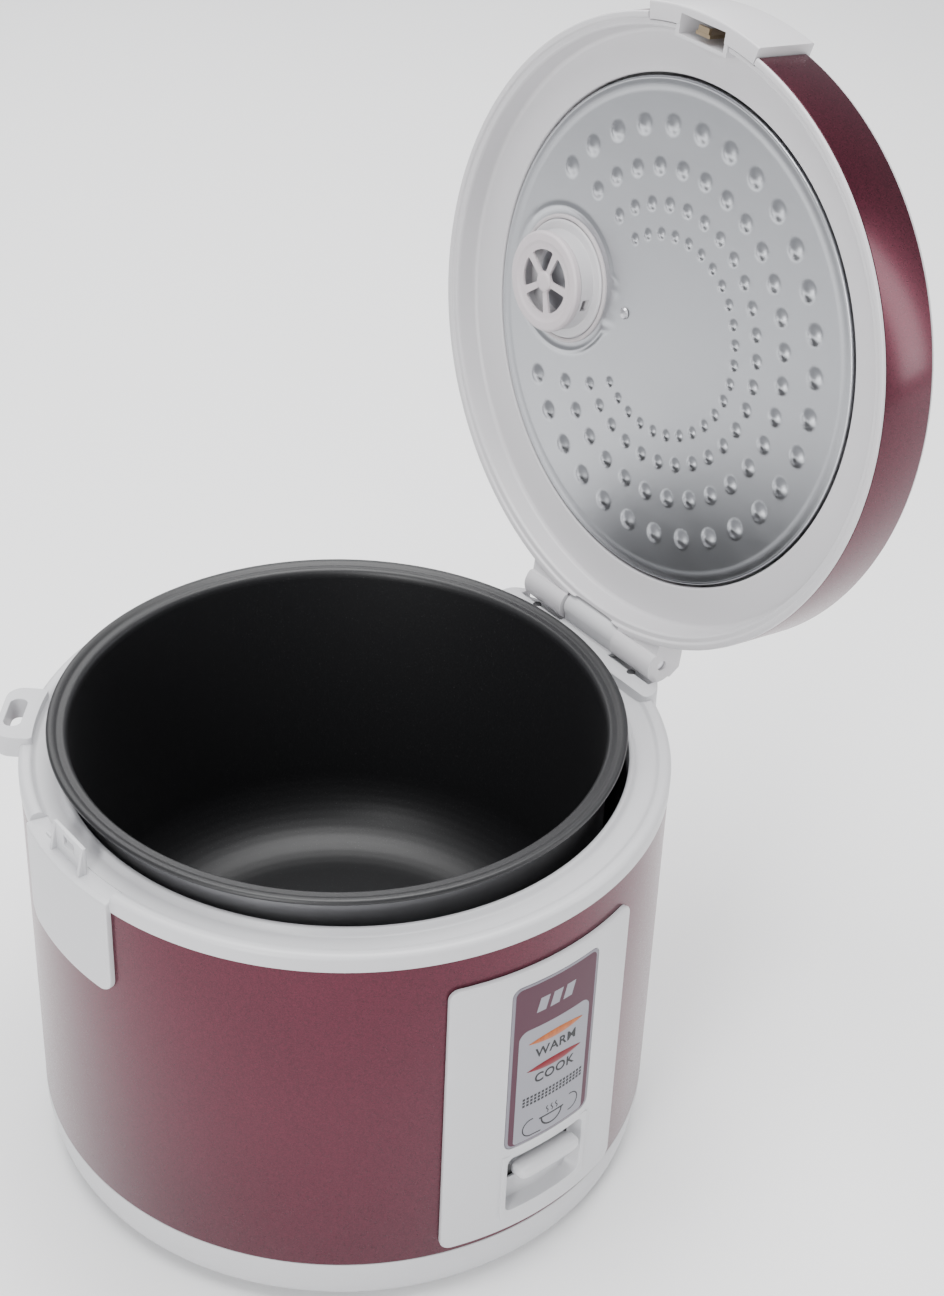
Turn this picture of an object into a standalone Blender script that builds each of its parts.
"""Jar rice cooker with a side-hinged lid, standing open.

The origin is the centre of the flat underside of the base pan. +Z is up, -Y is the
control panel, -X is the latch and +X is the hinge. Sizes are in millimetres and are
turned into metres where a mesh is made. Lid pieces are modelled closed and hang on one
pivot, which turns them to the open position. "h" is a height above the lid plane.
"""

import math

import bmesh
import bpy
from mathutils import Matrix, Vector

MM = 0.001

# Driving sizes, in millimetres
GAP = 0.3  # between pieces that touch
BODY_R = 132.5  # outside of the painted shell
SHELL_T = 0.8
SEAM_Z = 178.7  # where the collar meets the shell
BASE_H = 20.8  # height of the white base band
BASE_FLAT_R = BODY_R - 4.3
BASE_T = 2.5
COLLAR_RISE = 7.3  # collar rim above the seam
COLLAR_HOLE_R = BODY_R - 17.0
COLLAR_SKIRT = 8.7
LEDGE_RISE = 5.0
POT_R = COLLAR_HOLE_R - 5.0
POT_T = 1.6
POT_RIM_R = COLLAR_HOLE_R + 2.3
POT_RIM_Z = SEAM_Z + 21.0
POT_BOTTOM_Z = 52.0
POT_SHIFT = (-2.8, 2.0)  # the loose pot stands a little off centre
CHAMBER_R = COLLAR_HOLE_R + 0.7
CHAMBER_T = 0.7
CHAMBER_FLOOR_Z = 34.0
CHAMBER_HOLE_R = 19.0
PLATE_R = 84.5
PLATE_T = 6.7
CUP_R = 16.0
CUP_TRAVEL = 2.0
MAGNET_R = 12.5
MAGNET_T = 6.0
MAGNET_Z = 29.5
FOOT_R = 9.0
FOOT_H = 4.7
FOOT_RING_R = BODY_R - 24.5

PANEL_AZ = 0.9  # degrees from -Y towards +X
PANEL_HALF = 19.4
PANEL_Z = (25.4, 164.4)
PANEL_T = 2.2
FACE_AZ = 2.0  # label, lenses and switch
LABEL_HALF = 9.25
LABEL_Z = (71.5, 157.0)
LABEL_T = 0.5
LENS_SIZE = (28.0, 4.0)
LENS_Z = {"warm": 125.5, "cook": 110.8}
POCKET_HALF = 20.4
POCKET_Z = (35.6, 65.8)
POCKET_FLOOR_R = BODY_R - 3.5
POCKET_WALL = 1.6
PADDLE_HALF = 15.6
PADDLE_Z = (53.0, 60.4)
PADDLE_NOSE_R = BODY_R + 6.5
SWITCH_TRAVEL = 4.5
LEVER_PIVOT = (-75.0, 15.0)  # y, z in the switch frame
LEVER_T = 2.0
PUSH_Y = 7.5 - BODY_R

LID_LIFT = 8.5  # lid plane above the seam
LID_R = BODY_R - 2.5
LID_OPEN = 97.5  # degrees
BAND_H = (3.6, 28.7)
BAND_T = 0.8
RIM_H = 2.2
WALL_TOP_R = LID_R - 5.2
WALL_FOOT_R = LID_R - 7.1
RING_H = 13.1
RING_T = 2.0
INNER_PLATE_R = LID_R - 25.6
INNER_PLATE_T = 1.0
DOME_H = 36.5
VALVE_Y = 64.5
VALVE_R = 21.5
VALVE_FLANGE_R = 25.4
VALVE_FACE_H = 1.1
RIVET_Y = 24.6

HINGE_X = BODY_R + 1.2
HINGE_Z = SEAM_Z + 15.4
PIN_R = 2.0
BARREL_R = 8.0
BARREL_HALF = 42.0
KNUCKLE_R = 6.8
KNUCKLE_HALF = 16.5

LATCH_HALF_AZ = 13.4
TONGUE_HALF_AZ = 13.1
TONGUE_Z = SEAM_Z - 41.0
TONGUE_T = 2.1
CATCH_X = (3.3 - BODY_R, 4.9 - BODY_R)
CATCH_HALF = 11.1
CATCH_TOP_Z = SEAM_Z + 17.2
HOUSING_R = LID_R + 4.0
HOUSING_H = (2.2, 31.8)
WINDOW_X = (1.9 - BODY_R, 9.9 - BODY_R)
WINDOW_HALF = 12.6
HOOK_PIN = (13.0 - LID_R, 19.6)  # x, h
BUTTON_TRAVEL = 1.5
LUG_AZ = -131.0
LUG_R = BODY_R + 10.5

# Sizes that follow from the ones above
LID_Z = SEAM_Z + LID_LIFT
POT_FLOOR_Z = POT_BOTTOM_Z + 2.0
HOT_TOP = POT_BOTTOM_Z - GAP
SHELL_IN = BODY_R - SHELL_T
FRONT = -BODY_R  # the shell on the panel side and the latch side
STEPS = 40

parts = bpy.data.collections.new("rice_cooker")
tools = bpy.data.collections.new("cutters")


def clear_scene():
    for old in list(bpy.data.objects):
        bpy.data.objects.remove(old, do_unlink=True)
    bpy.context.scene.collection.children.link(parts)
    bpy.context.scene.collection.children.link(tools)


def material(name, colour, rough, metal=0.0):
    mat = bpy.data.materials.get(name) or bpy.data.materials.new(name)
    mat.use_nodes = True
    shader = mat.node_tree.nodes["Principled BSDF"]
    shader.inputs["Base Color"].default_value = (*colour, 1.0)
    shader.inputs["Roughness"].default_value = rough
    shader.inputs["Metallic"].default_value = metal
    return mat


def white_plastic():
    return material("white_plastic", (0.78, 0.78, 0.79), 0.35)


def burgundy_paint():
    return material("burgundy_paint", (0.16, 0.02, 0.045), 0.25, 0.3)


def aluminium():
    return material("aluminium", (0.62, 0.62, 0.64), 0.35, 1.0)


def steel():
    return material("zinc_steel", (0.55, 0.55, 0.56), 0.35, 1.0)


def black_coating():
    return material("black_coating", (0.02, 0.02, 0.02), 0.45)


def dark_plastic():
    return material("dark_plastic", (0.03, 0.03, 0.03), 0.5)


def make(name, mesh, mat, cutter=False):
    """A new object: a named part, or a hidden cutter or joiner."""
    obj = bpy.data.objects.new(name, mesh)
    (tools if cutter else parts).objects.link(obj)
    if mat:
        mesh.materials.append(mat)
    if cutter:
        obj.hide_render = True
        obj.display_type = "WIRE"
    return obj


def mesh_of(name, bm, smooth=True):
    bmesh.ops.recalc_face_normals(bm, faces=bm.faces)
    if bm.calc_volume(signed=True) < 0:
        bmesh.ops.reverse_faces(bm, faces=bm.faces)
    mesh = bpy.data.meshes.new(name)
    bm.to_mesh(mesh)
    bm.free()
    if smooth:
        mesh.shade_smooth()
        mesh.set_sharp_from_angle(angle=math.radians(35))
    return mesh


def turned(name, profile, mat=None, ring=False, steps=STEPS, at=(0, 0, 0), cutter=False):
    """A profile of (radius, height) points turned about Z. A ring's profile closes on itself."""
    count = len(profile)
    edges = [(i, i + 1) for i in range(count - 1)]
    if ring:
        edges.append((count - 1, 0))
    mesh = bpy.data.meshes.new(name)
    mesh.from_pydata([(r * MM, 0, z * MM) for r, z in profile], edges, [])
    obj = make(name, mesh, mat, cutter)
    obj.location = Vector(at) * MM
    screw = obj.modifiers.new("turn", "SCREW")
    screw.axis = "Z"
    screw.angle = math.tau
    screw.steps = screw.render_steps = steps
    screw.use_merge_vertices = True
    screw.merge_threshold = 0.00001
    screw.use_smooth_shade = True
    return obj


def box(name, low, high, mat=None, bevel=0.0, cutter=False):
    """A block between two corners, with rounded edges where a bevel is given."""
    low, high = Vector(low) * MM, Vector(high) * MM
    bm = bmesh.new()
    bmesh.ops.create_cube(bm, size=1.0)
    bmesh.ops.scale(bm, vec=high - low, verts=bm.verts)
    obj = make(name, mesh_of(name, bm, False), mat, cutter)
    obj.location = (low + high) / 2
    if bevel:
        round_edges(obj, bevel)
    return obj


def round_edges(obj, width, segments=3, angle=40.0):
    bevel = obj.modifiers.new("round", "BEVEL")
    bevel.width = width * MM
    bevel.segments = segments
    bevel.limit_method = "ANGLE"
    bevel.angle_limit = math.radians(angle)


def cylinder(name, radius, start, end, mat=None, sides=24, cutter=False):
    """A round bar between two points."""
    start, end = Vector(start) * MM, Vector(end) * MM
    along = end - start
    bm = bmesh.new()
    bmesh.ops.create_cone(
        bm, cap_ends=True, segments=sides, radius1=radius * MM, radius2=radius * MM, depth=along.length
    )
    obj = make(name, mesh_of(name, bm), mat, cutter)
    obj.location = (start + end) / 2
    obj.rotation_mode = "QUATERNION"
    obj.rotation_quaternion = along.to_track_quat("Z", "Y")
    return obj


def prisms(name, outlines, low, high, axis="Z", mat=None, cutter=False):
    """Flat outlines raised from low to high along an axis, all in one mesh."""
    place = {"Z": lambda a, b, c: (a, b, c), "Y": lambda a, b, c: (a, c, b)}[axis]
    bm = bmesh.new()
    for outline in outlines:
        face = bm.faces.new([bm.verts.new(Vector(place(a, b, low)) * MM) for a, b in outline])
        raised = bmesh.ops.extrude_face_region(bm, geom=[face])["geom"]
        lift = Vector(place(0, 0, high - low)) * MM
        bmesh.ops.translate(bm, vec=lift, verts=[v for v in raised if isinstance(v, bmesh.types.BMVert)])
    return make(name, mesh_of(name, bm, False), mat, cutter)


def rounded_rectangle(half, low, high, corner, points=4):
    """Outline of a rectangle, -half to half by low to high, with round corners."""
    outline = []
    for cx, cz, turn in (
        (half - corner, low + corner, -90),
        (half - corner, high - corner, 0),
        (corner - half, high - corner, 90),
        (corner - half, low + corner, 180),
    ):
        for i in range(points + 1):
            angle = math.radians(turn + 90 * i / points)
            outline.append((cx + corner * math.cos(angle), cz + corner * math.sin(angle)))
    return outline


def curved_plate(name, outline, inner, outer, azimuth, mat=None, cutter=False, pitch=3.0):
    """A flat outline of (arc length, height) wrapped round Z between two radii.

    The arc length is measured at the outer radius, from the azimuth. The plate is divided
    every few degrees and at every corner, so that it follows the curve with flat faces.
    """
    bm = bmesh.new()
    face = bm.faces.new([bm.verts.new((a, 0.0, z)) for a, z in outline])
    raised = bmesh.ops.extrude_face_region(bm, geom=[face])["geom"]
    bmesh.ops.translate(bm, vec=(0, 1, 0), verts=[v for v in raised if isinstance(v, bmesh.types.BMVert)])
    span = max(abs(a) for a, _ in outline)
    corners = {round(a, 3) for a, _ in outline}
    slice_width = math.radians(pitch) * outer
    slices = [i * slice_width for i in range(-int(span / slice_width), int(span / slice_width) + 1)]
    slices = [x for x in slices if min(abs(x - a) for a in corners) > 0.6]
    for x in sorted(corners.union(slices)):
        if abs(x) < span - 0.01:
            everything = bm.verts[:] + bm.edges[:] + bm.faces[:]
            bmesh.ops.bisect_plane(
                bm, geom=everything, plane_co=(x, 0, 0), plane_no=(1, 0, 0), dist=0.002
            )
    for vert in bm.verts:
        angle = math.radians(azimuth) + vert.co.x / outer
        radius = inner + (outer - inner) * vert.co.y
        vert.co = Vector((radius * math.sin(angle), -radius * math.cos(angle), vert.co.z)) * MM
    bmesh.ops.connect_verts_nonplanar(bm, angle_limit=0.0002, faces=bm.faces)
    return make(name, mesh_of(name, bm), mat, cutter)


def arc_block(name, inner, outer, azimuth, half_az, low, high, mat=None, corner=0.01, cutter=False):
    half = math.radians(half_az) * outer
    outline = rounded_rectangle(half, low, high, corner, 4 if corner > 0.1 else 1)
    return curved_plate(name, outline, inner, outer, azimuth, mat, cutter)


def boolean(obj, operation, *others):
    for other in others:
        cut = obj.modifiers.new(other.name, "BOOLEAN")
        cut.operation = operation
        cut.object = other
        cut.solver = "EXACT"


def cut(obj, *others):
    boolean(obj, "DIFFERENCE", *others)


def join(obj, *others):
    boolean(obj, "UNION", *others)


def coil(name, radius, wire, turns, start, length, axis, mat, points=10):
    """A round-wire spring from start along an axis."""
    start = Vector(start)
    count = int(turns * points) + 1
    curve = bpy.data.curves.new(name, "CURVE")
    curve.dimensions = "3D"
    curve.bevel_depth = wire * MM
    curve.bevel_resolution = 2
    curve.use_fill_caps = True
    spline = curve.splines.new("POLY")
    spline.points.add(count - 1)
    for i in range(count):
        angle = math.tau * i / points
        rise = length * i / (count - 1)
        x, y = radius * math.cos(angle), radius * math.sin(angle)
        offset = (x, y, rise) if axis == "Z" else (x, rise, y)
        spline.points[i].co = (*((start + Vector(offset)) * MM), 1.0)
    curve.materials.append(mat)
    obj = bpy.data.objects.new(name, curve)
    parts.objects.link(obj)
    return obj


def frame_empty(name, place=(0, 0, 0)):
    empty = bpy.data.objects.new(name, None)
    empty.location = Vector(place) * MM
    parts.objects.link(empty)
    return empty


def hang(parent, at, *objects):
    """Parents objects that were placed in world coordinates while the parent stood unturned."""
    for obj in objects:
        obj.parent = parent
        obj.matrix_parent_inverse = Matrix.Translation(-Vector(at) * MM)


# Base


def build_base():
    inner_lip = SHELL_IN - GAP
    profile = [
        (0, BASE_T),
        (BASE_FLAT_R - 2.2, BASE_T),
        (inner_lip - 1.9, BASE_H - 0.8),
        (inner_lip - 1.9, BASE_H + 6.0),
        (inner_lip, BASE_H + 6.0),
        (inner_lip, BASE_H),
        (BODY_R, BASE_H),
        (BODY_R, BASE_H - 5.0),
        (BODY_R - 1.0, 8.0),
        (BODY_R - 2.5, 2.0),
        (BASE_FLAT_R, 0),
        (0, 0),
    ]
    pan = turned("base_pan", profile, white_plastic())
    slots = []
    for i in range(12):
        angle = math.radians(30 * i + 15)
        middle = Vector((math.cos(angle), math.sin(angle))) * 70
        along = Vector((math.cos(angle), math.sin(angle))) * 11
        across = Vector((-math.sin(angle), math.cos(angle))) * 2
        corners = (middle - along - across, middle + along - across)
        corners += (middle + along + across, middle - along + across)
        slots.append([tuple(c) for c in corners])
    cut(pan, prisms("vent_slots", slots, -1.0, BASE_T + 1.0, cutter=True))

    for i in range(4):
        angle = math.radians(45 + 90 * i)
        place = (FOOT_RING_R * math.cos(angle), FOOT_RING_R * math.sin(angle), 0)
        build_foot(i + 1, place)
        up, down = (place[0], place[1], BASE_T + 1.0), (place[0], place[1], -1.0)
        cut(pan, cylinder(f"foot_hole_{i + 1}", 2.0, down, up, cutter=True, sides=12))


def build_foot(number, place):
    seat = -FOOT_H / 2 - GAP
    rubber = [
        (FOOT_R - 0.8, -GAP),
        (FOOT_R, -1.0),
        (FOOT_R - 0.6, -FOOT_H - GAP),
        (4.6, -FOOT_H - GAP),
        (4.6, seat),
        (2.0, seat),
        (2.0, -GAP),
    ]
    dark_rubber = material("grey_rubber", (0.12, 0.12, 0.12), 0.8)
    turned(f"foot_{number}", rubber, dark_rubber, True, 16, place)
    head = seat - GAP
    screw = [(0, 8.0), (1.6, 8.0), (1.6, head), (4.2, head), (3.4, head - 1.6), (0, head - 1.6)]
    turned(f"foot_screw_{number}", screw, steel(), False, 12, place)


def build_shell():
    low, high = BASE_H + GAP, SEAM_Z - GAP
    profile = [(BODY_R, high), (BODY_R, low), (SHELL_IN, low), (SHELL_IN, high)]
    shell = turned("outer_shell", profile, burgundy_paint(), True)
    window = box(
        "switch_window",
        (-POCKET_HALF - 2.6, -BODY_R - 3, POCKET_Z[0] - 3.1),
        (POCKET_HALF + 2.6, -BODY_R + 12, POCKET_Z[1] + 2.7),
        cutter=True,
    )
    holes = [
        cylinder(f"{kind}_lamp_hole", 4.0, (0, -BODY_R - 3, z), (0, -BODY_R + 5, z), cutter=True, sides=16)
        for kind, z in LENS_Z.items()
    ]
    inlet = box("inlet_window", (-15.4, BODY_R - 6, 29.6), (15.4, BODY_R + 3, 52.4), cutter=True)
    for tool in (window, *holes):
        turn_to_face(tool)
    cut(shell, window, *holes, inlet)


def turn_to_face(obj):
    """Turns an object modelled straight in front, at -Y, to the azimuth of the switch and the label."""
    obj.parent = face_frame


# Collar


def build_collar():
    rim, ledge = SEAM_Z + COLLAR_RISE, SEAM_Z + LEDGE_RISE
    skirt_r = SHELL_IN - GAP
    outer = BODY_R + 0.4
    profile = [
        (outer - 1.2, rim),
        (outer, rim - 1.7),
        (outer, SEAM_Z),
        (skirt_r, SEAM_Z),
        (skirt_r, SEAM_Z - COLLAR_SKIRT),
        (skirt_r - 1.8, SEAM_Z - COLLAR_SKIRT),
        (skirt_r - 1.8, ledge - 2.0),
        (COLLAR_HOLE_R + 2.0, ledge - 2.0),
        (COLLAR_HOLE_R + 2.0, SEAM_Z - 4.7),
        (COLLAR_HOLE_R, SEAM_Z - 4.7),
        (COLLAR_HOLE_R, rim + 0.3),
        (COLLAR_HOLE_R + 2.1, rim + 0.3),
        (COLLAR_HOLE_R + 3.1, ledge),
        (outer - 6.5, ledge),
        (outer - 4.6, rim),
    ]
    collar = turned("upper_collar", profile, white_plastic(), True)

    flat = ledge - GAP
    tongue_in = BODY_R + GAP
    tongue_out = tongue_in + TONGUE_T
    cut(
        collar,
        arc_block("latch_flat", BODY_R - 6.6, BODY_R + 3.5, -90, TONGUE_HALF_AZ, flat, rim + 4.0, cutter=True),
    )
    join(
        collar,
        arc_block(
            "latch_tongue", tongue_in, tongue_out, -90, TONGUE_HALF_AZ, TONGUE_Z, flat, None, 7.0, True
        ),
        arc_block("tongue_root", skirt_r - 1.0, tongue_in + 0.9, -90, 12.6, SEAM_Z + 0.3, flat, cutter=True),
        catch_wall(flat),
        catch_gussets(flat),
        hinge_platform(),
        knuckle_neck(),
        cylinder("knuckle", KNUCKLE_R, hinge_at(-KNUCKLE_HALF - 1), hinge_at(KNUCKLE_HALF + 1), cutter=True),
        lug_body(),
    )
    cut(
        collar,
        box(
            "catch_slot",
            (CATCH_X[0] - 1, -4.0, SEAM_Z + 9.8),
            (CATCH_X[1] + 1, 4.0, SEAM_Z + 14.6),
            cutter=True,
        ),
        *barrel_scoops(),
        cylinder("knuckle_bore", PIN_R + GAP, hinge_at(-50), hinge_at(50), cutter=True, sides=16),
        lug_slot(),
    )


def hinge_at(y):
    return (HINGE_X, y, HINGE_Z)


def catch_wall(foot):
    low = (CATCH_X[0], -CATCH_HALF, foot - 1.0)
    return box("catch_wall", low, (CATCH_X[1], CATCH_HALF, CATCH_TOP_Z), cutter=True)


def catch_gussets(foot):
    back = CATCH_X[0] + 0.8
    outline = [(back, foot - 1.0), (CATCH_X[0] - 2.5, foot - 1.0), (CATCH_X[0] - 2.3, foot + 0.6)]
    outline += [(CATCH_X[0] - 0.2, CATCH_TOP_Z - 1.0), (back, CATCH_TOP_Z - 1.0)]
    bm = bmesh.new()
    far, near = CATCH_HALF - 0.2, CATCH_HALF - 1.8
    for low, high in ((-far, -near), (near, far)):
        face = bm.faces.new([bm.verts.new(Vector((x, low, z)) * MM) for x, z in outline])
        raised = bmesh.ops.extrude_face_region(bm, geom=[face])["geom"]
        lift = Vector((0, high - low, 0)) * MM
        bmesh.ops.translate(bm, vec=lift, verts=[v for v in raised if isinstance(v, bmesh.types.BMVert)])
    return make("catch_gussets", mesh_of("catch_gussets", bm, False), None, True)


def hinge_platform():
    """A raised land behind the collar, with rounded corners, that carries the knuckle."""
    out = HINGE_X + 4.3
    inner, middle, outer = BODY_R - 14.5, BODY_R - 5.5, BODY_R + 1.5
    outline = [(inner, -47.5), (middle, -46.5), (outer, -39), (out, -28)]
    outline += [(out, 28), (outer, 39), (middle, 46.5), (inner, 47.5)]
    return prisms("hinge_platform", [outline], SEAM_Z + 0.4, SEAM_Z + 9.8, cutter=True)


def knuckle_neck():
    low, half = SEAM_Z + 3.0, KNUCKLE_HALF + 0.6
    return box("knuckle_neck", (HINGE_X - 5.5, -half, low), (HINGE_X + 6.2, half, HINGE_Z + 1), cutter=True)


def barrel_scoops():
    scoop_r = BARREL_R + 2.2
    ends = ((-BARREL_HALF - 1.3, -KNUCKLE_HALF), (KNUCKLE_HALF, BARREL_HALF + 1.3))
    return [
        cylinder(f"barrel_scoop_{i + 1}", scoop_r, hinge_at(a), hinge_at(b), cutter=True, sides=36)
        for i, (a, b) in enumerate(ends)
    ]


def lug_body():
    """The socket beside the collar for the spoon holder."""
    half_width = 17.0
    outline = rounded_rectangle(half_width, BODY_R - 6.5 - LUG_R, 0.0, 6.0)
    outline = [(a, -LUG_R - b) for a, b in outline]
    lug = prisms("lug_body", [outline], SEAM_Z - 1.0 + GAP * 5, SEAM_Z + 10.5, cutter=True)
    lug.rotation_euler.z = math.radians(LUG_AZ)
    return lug


def lug_slot():
    outline = rounded_rectangle(9.5, -3.6, 3.6, 3.5)
    middle = LUG_R - 6.2
    slot = prisms("lug_slot", [[(a, -middle - b) for a, b in outline]], SEAM_Z - 4, SEAM_Z + 13, cutter=True)
    slot.rotation_euler.z = math.radians(LUG_AZ)
    return slot


# Pot, chamber and heater


def build_pot():
    wall_in = POT_R - POT_T
    floor = POT_FLOOR_Z
    profile = [
        (0, floor),
        (wall_in - 36.0, floor),
        (wall_in - 15.0, floor + 5.0),
        (wall_in - 4.0, floor + 18.0),
        (wall_in, floor + 38.0),
        (wall_in, POT_RIM_Z - 4.5),
        (wall_in + 1.8, POT_RIM_Z - 1.1),
        (POT_RIM_R - 3.8, POT_RIM_Z - 1.3),
        (POT_RIM_R - 1.6, POT_RIM_Z),
        (POT_RIM_R, POT_RIM_Z - 0.8),
        (POT_RIM_R - 0.2, POT_RIM_Z - 2.0),
        (POT_R + 0.8, POT_RIM_Z - 4.2),
        (POT_R, POT_RIM_Z - 7.5),
        (POT_R, floor + 38.0),
        (POT_R - 4.2, floor + 16.0),
        (POT_R - 16.0, floor + 2.4),
        (POT_R - 36.0, POT_BOTTOM_Z),
        (0, POT_BOTTOM_Z),
    ]
    turned("inner_pot", profile, black_coating(), at=(*POT_SHIFT, 0))


def build_chamber():
    top = SEAM_Z - 4.7 - GAP
    outer = CHAMBER_R + CHAMBER_T
    floor = CHAMBER_FLOOR_Z
    profile = [
        (outer + 3.9, top),
        (outer + 3.9, top - CHAMBER_T),
        (outer, top - CHAMBER_T),
        (outer, floor),
        (CHAMBER_HOLE_R, floor),
        (CHAMBER_HOLE_R, floor + CHAMBER_T),
        (CHAMBER_R, floor + CHAMBER_T),
        (CHAMBER_R, top),
    ]
    turned("inner_chamber", profile, aluminium(), True)
    band = outer + GAP
    strip = [(band + 1.4, 90), (band + 1.4, 72), (band, 72), (band, 90)]
    foil = material("heater_foil", (0.5, 0.5, 0.48), 0.4, 1.0)
    turned("keep_warm_heater", strip, foil, True)


def build_heater():
    top, bottom = HOT_TOP, HOT_TOP - PLATE_T
    hole = CUP_R + 1.2
    profile = [
        (PLATE_R - 1.5, top),
        (PLATE_R, top - 1.0),
        (PLATE_R - 0.5, bottom),
        (68.0, bottom),
        (64.5, bottom - 5.8),
        (59.5, bottom - 5.8),
        (56.0, bottom),
        (hole, bottom),
        (hole, top),
    ]
    cast = material("cast_aluminium", (0.5, 0.5, 0.51), 0.55, 1.0)
    turned("heating_plate", profile, cast, True)
    for i in range(3):
        angle = math.radians(90 + 120 * i)
        x, y = 40 * math.cos(angle), 40 * math.sin(angle)
        foot = CHAMBER_FLOOR_Z + CHAMBER_T + GAP
        cylinder(f"plate_leg_{i + 1}", 4.0, (x, y, foot), (x, y, bottom - GAP), steel(), 16)
    fuse_z = bottom - 4.0
    sleeve = material("fuse_sleeve", (0.75, 0.7, 0.6), 0.7)
    cylinder("thermal_fuse", 2.2, (22, -34, fuse_z), (42, -24, fuse_z), sleeve, 12)


def build_thermostat():
    top = HOT_TOP
    cup_low = top - 15.7
    cup = [
        (0, top),
        (CUP_R - 0.8, top),
        (CUP_R, top - 0.8),
        (CUP_R, cup_low),
        (CUP_R - 1.0, cup_low),
        (CUP_R - 1.0, top - 1.5),
        (0, top - 1.5),
    ]
    turned("thermostat_cup", cup, aluminium(), steps=24)
    ferrite = material("ferrite", (0.08, 0.08, 0.09), 0.6)
    ferrite_top = top - 1.5 - GAP
    cylinder("thermostat_ferrite", MAGNET_R + 0.5, (0, 0, ferrite_top - 5.0), (0, 0, ferrite_top), ferrite)

    well_top = CHAMBER_FLOOR_Z - GAP
    well = CUP_R + 4.2
    floor = MAGNET_Z - 4.5
    bracket = [
        (well + 12.8, well_top),
        (well + 12.8, well_top - 1.2),
        (well + 1.2, well_top - 1.2),
        (well + 1.2, floor),
        (4.0, floor),
        (4.0, floor + 1.2),
        (well, floor + 1.2),
        (well, well_top),
    ]
    turned("thermostat_bracket", bracket, steel(), True, 24)
    low = floor + 1.2 + GAP + 0.5
    coil("thermostat_spring", CUP_R - 0.8, 0.5, 3.5, (0, 0, low), cup_low - GAP - 0.5 - low, "Z", steel())

    magnet_top = MAGNET_Z + MAGNET_T
    cylinder("lifting_magnet", MAGNET_R, (0, 0, MAGNET_Z), (0, 0, magnet_top), ferrite)
    rod_low = LEVER_PIVOT[1] + LEVER_T / 2 + 1.0
    cylinder("magnet_rod", 2.5, (0, 0, rod_low), (0, 0, MAGNET_Z - GAP), steel(), 16)


# Switch and panel


def build_switch():
    y, z = LEVER_PIVOT
    half_t = LEVER_T / 2
    low, high = PADDLE_Z
    paddle = box(
        "cook_switch",
        (-PADDLE_HALF, -PADDLE_NOSE_R, low),
        (PADDLE_HALF, PUSH_Y + 0.5, high),
        white_plastic(),
        3.0,
    )
    rod_foot = z + half_t + GAP
    rod = box("push_rod", (-2.5, PUSH_Y - 1.6, rod_foot), (2.5, PUSH_Y + 1.6, high - 2), cutter=True)
    join(paddle, rod)

    lever = box("switch_lever", (-5, PUSH_Y - 1, z - half_t), (5, 3, z + half_t), steel())
    boss = cylinder("lever_boss", 3.5, (-6, y, z), (6, y, z), cutter=True)
    bore = cylinder("lever_bore", 1.8, (-9, y, z), (9, y, z), cutter=True, sides=16)
    join(lever, boss)
    cut(lever, bore)

    foot = BASE_T + GAP
    bracket = box("lever_bracket", (-8, y - 8, foot), (8, y + 8, foot + 1.5), steel())
    cheeks = [
        box(f"cheek_{i + 1}", (side, y - 4.5, foot + 0.5), (side + 1.5, y + 4.5, z + 4.5), cutter=True)
        for i, side in enumerate((-8.0, 6.5))
    ]
    pin_hole = cylinder("pin_hole", 1.8, (-12, y, z), (12, y, z), cutter=True, sides=16)
    join(bracket, *cheeks)
    cut(bracket, pin_hole)
    pin = cylinder("lever_pivot_pin", 1.5, (-9.5, y, z), (9.5, y, z), steel(), 16)

    micro = box("micro_switch", (9, PUSH_Y + 7, foot), (17, PUSH_Y + 27, foot + 11), dark_plastic())
    for obj in (paddle, rod, lever, boss, bore, bracket, *cheeks, pin_hole, pin, micro):
        turn_to_face(obj)


def lens_outline(grow=0.0):
    """Two shallow arcs meeting in points, as (across, up)."""
    half, rise = LENS_SIZE[0] / 2 + 2 * grow, LENS_SIZE[1] / 2 + grow
    steps = [-1 + 0.25 * i for i in range(9)]
    lower = [(half * t, -rise * (1 - t * t)) for t in steps]
    return lower + [(half * t, rise * (1 - t * t)) for t in reversed(steps[1:-1])]


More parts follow.
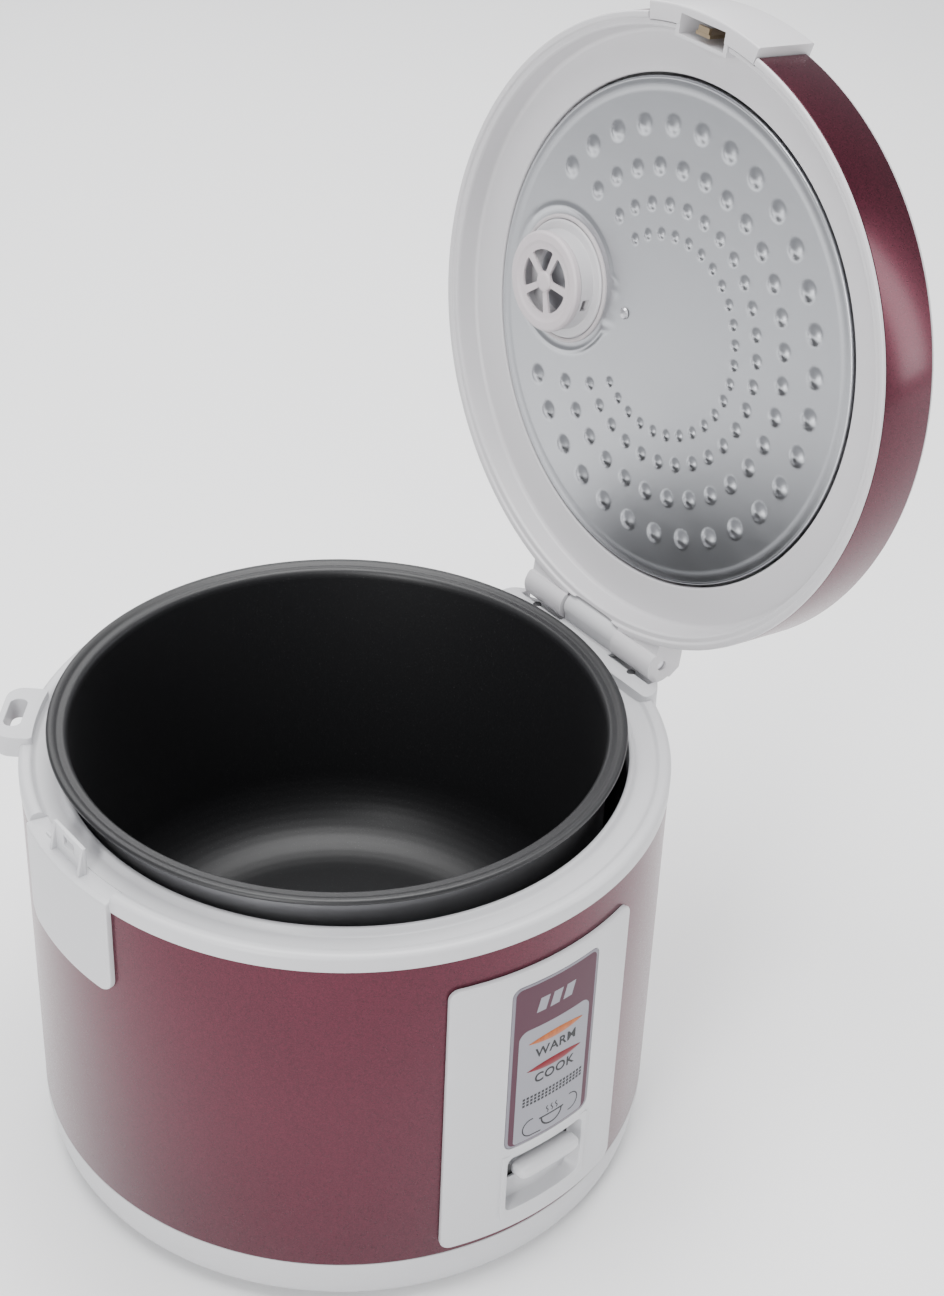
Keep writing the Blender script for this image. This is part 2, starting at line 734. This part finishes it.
def build_panel():
    inner = BODY_R + GAP
    outer = inner + PANEL_T
    plate = arc_block(
        "control_panel", inner, outer, PANEL_AZ, PANEL_HALF, *PANEL_Z, white_plastic(), 4.5
    )
    label_in = outer - 0.7
    seat_half = math.radians(LABEL_HALF) * (outer + 2) + GAP
    seat = rounded_rectangle(seat_half, LABEL_Z[0] - GAP, LABEL_Z[1] + GAP, 4.3)
    label_seat = curved_plate("label_seat", seat, label_in, outer + 2, FACE_AZ, cutter=True)

    face = rounded_rectangle(math.radians(LABEL_HALF) * (label_in + 0.8), *LABEL_Z, 4.0)
    foil = material("label_foil", (0.45, 0.42, 0.46), 0.3, 0.6)
    label = curved_plate("panel_label", face, label_in + GAP, label_in + 0.8, FACE_AZ, foil)

    lens_colours = {"warm": (0.75, 0.25, 0.03), "cook": (0.6, 0.02, 0.02)}
    for kind, z in LENS_Z.items():
        hole = [(a, b + z) for a, b in lens_outline(GAP * 1.5)]
        lens = [(a, b + z) for a, b in lens_outline()]
        tint = material(f"{kind}_lens", lens_colours[kind], 0.15)
        curved_plate(f"{kind}_lens", lens, inner + 0.9, outer + 0.4, FACE_AZ, tint)
        slit = curved_plate(f"{kind}_slit", hole, inner - 2, outer + 2, FACE_AZ, cutter=True)
        cut(label, slit)
        cut(plate, slit)
        bulb = material("neon_glass", (0.8, 0.5, 0.3), 0.1)
        lamp = cylinder(f"{kind}_lamp", 2.6, (0, FRONT + 9.9, z), (0, FRONT + 0.4, z), bulb, 16)
        turn_to_face(lamp)

    low, high = POCKET_Z
    floor_back = POCKET_FLOOR_R - POCKET_WALL
    pocket = box(
        "pocket_body",
        (-POCKET_HALF - 2, -inner - 1, low - 2),
        (POCKET_HALF + 2, -floor_back, high + 1.9),
        cutter=True,
    )
    hollow_low, hollow_high = (-POCKET_HALF, -outer - 5, low), (POCKET_HALF, -POCKET_FLOOR_R, high)
    hollow = box("pocket_hollow", hollow_low, hollow_high, cutter=True)
    slot = box(
        "paddle_slot",
        (-PADDLE_HALF - 1.9, -outer, PADDLE_Z[0] - SWITCH_TRAVEL - 0.7),
        (PADDLE_HALF + 1.9, -floor_back + 2, PADDLE_Z[1] + 3.6),
        cutter=True,
    )
    for tool in (pocket, hollow, slot):
        turn_to_face(tool)
    join(plate, pocket)
    cut(plate, label_seat, hollow, slot)

    green = material("circuit_board", (0.1, 0.25, 0.1), 0.5)
    board = box("lamp_board", (-17, FRONT + 10.2, 97), (17, FRONT + 11.7, 139), green)
    turn_to_face(board)


def build_wiring():
    block = material("cream_plastic", (0.7, 0.66, 0.55), 0.5)
    box("terminal_block", (-14, 92, BASE_T + GAP), (14, 104, BASE_T + GAP + 10), block)
    inlet = box("power_inlet", (-15, BODY_R - 13, 30), (15, BODY_R + 1.8, 52), dark_plastic())
    flange = box("inlet_flange", (-18, BODY_R + GAP, 27), (18, BODY_R + 2.0, 55), cutter=True)
    hollow = box("inlet_hollow", (-11.5, BODY_R - 10.5, 33.5), (11.5, BODY_R + 7.5, 48.5), cutter=True)
    join(inlet, flange)
    cut(inlet, hollow)
    for name, x, z in (("live", -7, 38.5), ("neutral", 7, 38.5), ("earth", 0, 44.5)):
        low, high = (x - 1, BODY_R - 10.2, z - 2), (x + 1, BODY_R - 2.5, z + 2)
        box(f"inlet_pin_{name}", low, high, steel())


# Lid, modelled closed


def lid_at(h):
    return LID_Z + h


def lid_turned(name, profile, *args, **kwargs):
    return turned(name, [(r, lid_at(h)) for r, h in profile], *args, **kwargs)


def latch_clearance(name, low, high):
    return arc_block(
        name, HOUSING_R - 7.7, HOUSING_R + 6, -90, LATCH_HALF_AZ + 0.3, lid_at(low), lid_at(high), cutter=True
    )


def hinge_notch(name, top):
    half = BARREL_HALF + GAP
    return box(name, (BODY_R - 32.5, -half, lid_at(-8)), (BODY_R + 17.5, half, lid_at(top)), cutter=True)


def build_lid_frame():
    ring_r = INNER_PLATE_R + 1.2
    lip = LID_R - BAND_T - GAP
    profile = [
        (lip, 14.0),
        (lip, BAND_H[0] - GAP),
        (LID_R, BAND_H[0] - GAP),
        (LID_R, RIM_H + 0.6),
        (LID_R - 0.6, RIM_H),
        (LID_R - 2.8, RIM_H),
        (LID_R - 3.1, RIM_H + 0.9),
        (WALL_TOP_R, RIM_H + 0.9),
        (WALL_FOOT_R, RING_H - 0.2),
        (ring_r, RING_H + 0.2),
        (ring_r, RING_H + RING_T + 0.1),
        (WALL_FOOT_R + 1.4, RING_H + RING_T),
        (WALL_TOP_R + 1.1, RIM_H + 3.3),
        (lip - 1.6, RIM_H + 3.0),
        (lip - 1.6, 14.0),
    ]
    frame = lid_turned("lid_frame", profile, white_plastic(), True)

    block = prisms("hinge_block", [hinge_block_outline()], -BARREL_HALF, BARREL_HALF, "Y", cutter=True)
    low, high = (0, 0, lid_at(-12)), (0, 0, lid_at(40))
    core = cylinder("block_core", lip - 1.4, low, high, cutter=True, sides=STEPS)
    cut(block, core)
    clear_r = BARREL_R + 0.4
    half = KNUCKLE_HALF + 0.5
    knuckle_room = cylinder("knuckle_room", clear_r, hinge_at(-half), hinge_at(half), cutter=True)
    neck_room = box(
        "neck_room", (HINGE_X, -half, lid_at(-10)), (HINGE_X + 15, half, HINGE_Z + 7.6), cutter=True
    )
    bore = cylinder("barrel_bore", PIN_R + GAP, hinge_at(-60), hinge_at(60), cutter=True, sides=16)
    spring_room = cylinder("spring_room", 5.6, hinge_at(half - 1), hinge_at(half + 15), cutter=True, sides=20)
    join(frame, block)
    latch_room = latch_clearance("frame_latch_room", -6, 30)
    low, high = (FRONT - 7.5, -14.9, lid_at(-6)), (FRONT + 11.5, 14.9, lid_at(30))
    hook_room = box("frame_hook_room", low, high, cutter=True)
    cut(frame, knuckle_room, neck_room, bore, spring_room, latch_room, hook_room)
    return [frame, block, core, knuckle_room, neck_room, bore, spring_room, latch_room, hook_room]


def hinge_block_outline():
    """Section of the lid's hinge block, as (x, z): a barrel round the pin with a shoulder to the lid."""
    top = lid_at(17.5)
    outline = [(BODY_R - 16.5, top), (BODY_R - 16.5, lid_at(2.8)), (HINGE_X - 5.6, lid_at(2.8))]
    for i in range(13):
        angle = math.radians(228 + 14 * i)
        outline.append((HINGE_X + BARREL_R * math.cos(angle), HINGE_Z + BARREL_R * math.sin(angle)))
    outline += [(HINGE_X + 7.0, HINGE_Z + 6.0), (HINGE_X + 3.0, top)]
    return outline


def build_lid_shells():
    band = [(LID_R, BAND_H[1]), (LID_R, BAND_H[0]), (LID_R - BAND_T, BAND_H[0]), (LID_R - BAND_T, BAND_H[1])]
    band = lid_turned("lid_band", band, burgundy_paint(), True)
    edge = BAND_H[1] + GAP
    skirt = LID_R - BAND_T - GAP - 0.1
    dome = [
        (0, DOME_H),
        (60, DOME_H - 0.4),
        (104, DOME_H - 1.7),
        (LID_R - 4, DOME_H - 3.9),
        (LID_R - 0.8, DOME_H - 5.9),
        (LID_R - 0.3, edge),
        (skirt, edge),
        (skirt, edge - 11),
        (skirt - 1.6, edge - 11),
        (skirt - 1.6, DOME_H - 6.5),
        (104, DOME_H - 4.0),
        (60, DOME_H - 2.7),
        (0, DOME_H - 2.2),
    ]
    cover = lid_turned("lid_cover", dome, white_plastic())
    notch = hinge_notch("band_hinge_notch", 17.8)
    band_room = latch_clearance("band_latch_room", 0, 40)
    cut(band, notch, band_room)
    steam_hole = cylinder("steam_hole", 12.0, (0, VALVE_Y, lid_at(25)), (0, VALVE_Y, lid_at(45)), cutter=True)
    cut(cover, band_room, steam_hole)
    return [band, cover, notch, band_room, steam_hole]


def build_inner_plate():
    low, high = RING_H, RING_H + INNER_PLATE_T
    flange = RING_H + RING_T + 2.2
    profile = [
        (0, high),
        (INNER_PLATE_R - 1.0, high),
        (INNER_PLATE_R - 1.0, flange + 0.8),
        (INNER_PLATE_R + 5.6, flange + 0.8),
        (INNER_PLATE_R + 5.6, flange),
        (INNER_PLATE_R, flange),
        (INNER_PLATE_R, low + 0.5),
        (INNER_PLATE_R - 0.5, low),
        (0, low),
    ]
    plate = lid_turned("lid_inner_plate", profile, aluminium())
    valve_hole = cylinder("valve_hole", 18.0, (0, VALVE_Y, lid_at(10)), (0, VALVE_Y, lid_at(16)), cutter=True)
    rivet_hole = cylinder(
        "rivet_hole", 1.5, (0, RIVET_Y, lid_at(10)), (0, RIVET_Y, lid_at(16)), cutter=True, sides=12
    )
    cut(plate, valve_hole, rivet_hole)

    seat = RING_H + RING_T + 0.1 + GAP
    ring = [(INNER_PLATE_R + 5.4, flange - GAP), (INNER_PLATE_R + 5.4, seat)]
    ring += [(INNER_PLATE_R + 1.6, seat), (INNER_PLATE_R + 1.6, flange - GAP)]
    gasket = lid_turned("lid_gasket", ring, material("silicone", (0.6, 0.6, 0.6), 0.6), True)
    rivet = [(0, 17), (1.2, 17), (1.2, low - GAP), (2.6, low - GAP), (1.9, low - 1.1), (0, low - 1.4)]
    rivet = lid_turned("plate_rivet", rivet, steel(), steps=12, at=(0, RIVET_Y, 0))
    return [plate, valve_hole, rivet_hole, gasket, rivet]


def build_steam_path():
    face = VALVE_FACE_H
    flange = RING_H - GAP
    body = [
        (17.0, flange + 7.2),
        (17.0, flange),
        (VALVE_FLANGE_R, flange),
        (VALVE_FLANGE_R, flange - 1.5),
        (VALVE_R - 0.2, flange - 1.5),
        (VALVE_R - 0.2, face + 3.5),
        (VALVE_R - 2.2, face + 3.5),
        (VALVE_R - 2.2, flange - 1.8),
        (15.0, flange - 1.3),
        (15.0, flange + 7.2),
    ]
    here = (0, VALVE_Y, 0)
    body = lid_turned("steam_valve_body", body, white_plastic(), True, 32, here)
    port = box("valve_port", (1.0, VALVE_Y - 25, lid_at(5.6)), (6.4, VALVE_Y - 16, lid_at(9.4)), cutter=True)
    cut(body, port)

    cap = [
        (0, face + 1.9),
        (VALVE_R - 2.5, face + 1.9),
        (VALVE_R - 2.5, face + 3.2),
        (VALVE_R, face + 3.2),
        (VALVE_R, face + 0.9),
        (VALVE_R - 0.9, face),
        (0, face),
    ]
    frosted = material("frosted_plastic", (0.72, 0.7, 0.72), 0.4)
    cap = lid_turned("steam_valve_cap", cap, frosted, steps=32, at=here)
    openings = prisms("cap_openings", cap_sectors(), lid_at(face - 1), lid_at(face + 3), cutter=True)
    cut(cap, openings)

    duct = [(19.2, DOME_H - 3.6), (19.2, RING_H + INNER_PLATE_T + GAP)]
    duct += [(17.6, RING_H + INNER_PLATE_T + GAP), (17.6, DOME_H - 3.6)]
    silicone = material("silicone", (0.6, 0.6, 0.6), 0.6)
    duct = lid_turned("steam_duct", duct, silicone, True, 24, here)

    top = DOME_H + 4.5
    vent = [
        (0, top),
        (14, top - 0.4),
        (19, top - 1.8),
        (20.5, DOME_H + 0.3),
        (11.4, DOME_H + 0.3),
        (11.4, DOME_H - 6),
        (9.8, DOME_H - 6),
        (9.8, top - 2.4),
        (0, top - 2.0),
    ]
    vent = lid_turned("steam_vent", vent, white_plastic(), steps=24, at=here)
    slots = [
        [(x - 1, VALVE_Y - s), (x + 1, VALVE_Y - s), (x + 1, VALVE_Y + s), (x - 1, VALVE_Y + s)]
        for x, s in ((-6.0, 6.0), (-2.0, 8.0), (2.0, 8.0), (6.0, 6.0))
    ]
    slots = prisms("vent_openings", slots, lid_at(DOME_H + 1.2), lid_at(DOME_H + 8), cutter=True)
    cut(vent, slots)
    return [body, port, cap, openings, duct, vent, slots]


def cap_sectors():
    """Five openings between the spokes of the valve's face."""
    sectors = []
    for i in range(5):
        middle = 90 + 72 * i
        inner = [(4.2, middle + a) for a in (-22, 22)]
        outer = [(13.6, middle + a) for a in (29, 14.5, 0, -14.5, -29)]
        sector = [
            (r * math.cos(math.radians(a)), VALVE_Y + r * math.sin(math.radians(a))) for r, a in inner + outer
        ]
        sectors.append(sector)
    return sectors


def build_latch():
    low, high = (lid_at(h) for h in HOUSING_H)
    housing = arc_block(
        "latch_housing", HOUSING_R - 7.4, HOUSING_R, -90, LATCH_HALF_AZ, low, high, white_plastic()
    )
    hook_x, hook_z = HOOK_PIN[0], lid_at(HOOK_PIN[1])
    inner_x = WINDOW_X[1] + 1.3
    wall = box("housing_wall", (FRONT + 4.5, -14.6, low), (inner_x, 14.6, lid_at(29.6)), cutter=True)
    back = box("housing_back", (inner_x - 1, -14.6, lid_at(15.6)), (FRONT + 22, 14.6, lid_at(29.6)), cutter=True)
    join(housing, wall, back)
    window = box(
        "latch_window",
        (WINDOW_X[0], -WINDOW_HALF, low - 2),
        (WINDOW_X[1], WINDOW_HALF, lid_at(27)),
        cutter=True,
    )
    cavity_low, cavity_high = (FRONT + 9, -WINDOW_HALF, lid_at(16.8)), (FRONT + 20.5, WINDOW_HALF, lid_at(27))
    cavity = box("latch_cavity", cavity_low, cavity_high, cutter=True)
    button_x = (FRONT + 0.4, FRONT + 5)
    seat = box(
        "button_seat", (button_x[0] - GAP, -11.4, lid_at(28.4)), (button_x[1] + GAP, 11.4, high + 2), cutter=True
    )
    passage_low, passage_high = (FRONT + 2, -8.4, lid_at(26)), (FRONT + 4.8, 8.4, lid_at(29))
    passage = box("stem_passage", passage_low, passage_high, cutter=True)
    start, end = (hook_x, -20, hook_z), (hook_x, 20, hook_z)
    pin_holes = cylinder("hook_pin_holes", 1.5, start, end, cutter=True, sides=12)
    cut(housing, window, cavity, seat, passage, pin_holes)

    button = box(
        "latch_button", (button_x[0], -11, high - 1.6), (button_x[1], 11, high + 0.3), white_plastic(), 0.6
    )
    arm_top = hook_z + 1.0
    stem = box("button_stem", (FRONT + 2.3, -8, arm_top + GAP), (FRONT + 4.5, 8, high - 1.2), cutter=True)
    join(button, stem)

    hook = box("latch_hook", (FRONT + 2.5, -4, hook_z - 1.0), (hook_x + 1.0, 4, arm_top), steel())
    shank = box("hook_shank", (FRONT + 5.9, -4, lid_at(3.0)), (FRONT + 7.3, 4, hook_z), cutter=True)
    nose = box("hook_nose", (FRONT + 3.6, -3, lid_at(3.1)), (FRONT + 6.5, 3, lid_at(4.6)), cutter=True)
    boss = cylinder("hook_boss", 2.4, (hook_x, -5, hook_z), (hook_x, 5, hook_z), cutter=True, sides=20)
    eye = cylinder("hook_eye", 1.5, (hook_x, -9, hook_z), (hook_x, 9, hook_z), cutter=True, sides=12)
    join(hook, shank, nose, boss)
    cut(hook, eye)
    pin = cylinder("latch_pin", 1.2, (hook_x, -14.2, hook_z), (hook_x, 14.2, hook_z), steel(), 12)
    spring = coil("latch_spring", 2.2, 0.35, 3, (hook_x, 5.8, hook_z), 4.2, "Y", steel(), 9)
    pieces = [housing, wall, back, window, cavity, seat, passage, pin_holes]
    return pieces + [button, stem, hook, shank, nose, boss, eye, pin, spring]


def build_hinge():
    cylinder("hinge_pin", PIN_R, hinge_at(-BARREL_HALF + 1), hinge_at(BARREL_HALF - 1), steel(), 20)
    start = (HINGE_X, KNUCKLE_HALF + 1.4, HINGE_Z)
    coil("hinge_spring", 4.1, 0.7, 5, start, 12.0, "Y", steel(), 9)


def build_lid():
    pivot = frame_empty("lid_pivot", hinge_at(0))
    pieces = build_lid_frame() + build_lid_shells() + build_inner_plate()
    pieces += build_steam_path() + build_latch()
    hang(pivot, hinge_at(0), *pieces)
    pivot.rotation_euler.y = math.radians(LID_OPEN)


clear_scene()
face_frame = frame_empty("face_frame")
face_frame.rotation_euler.z = math.radians(FACE_AZ)
build_base()
build_shell()
build_collar()
build_pot()
build_chamber()
build_heater()
build_thermostat()
build_switch()
build_panel()
build_wiring()
build_hinge()
build_lid()
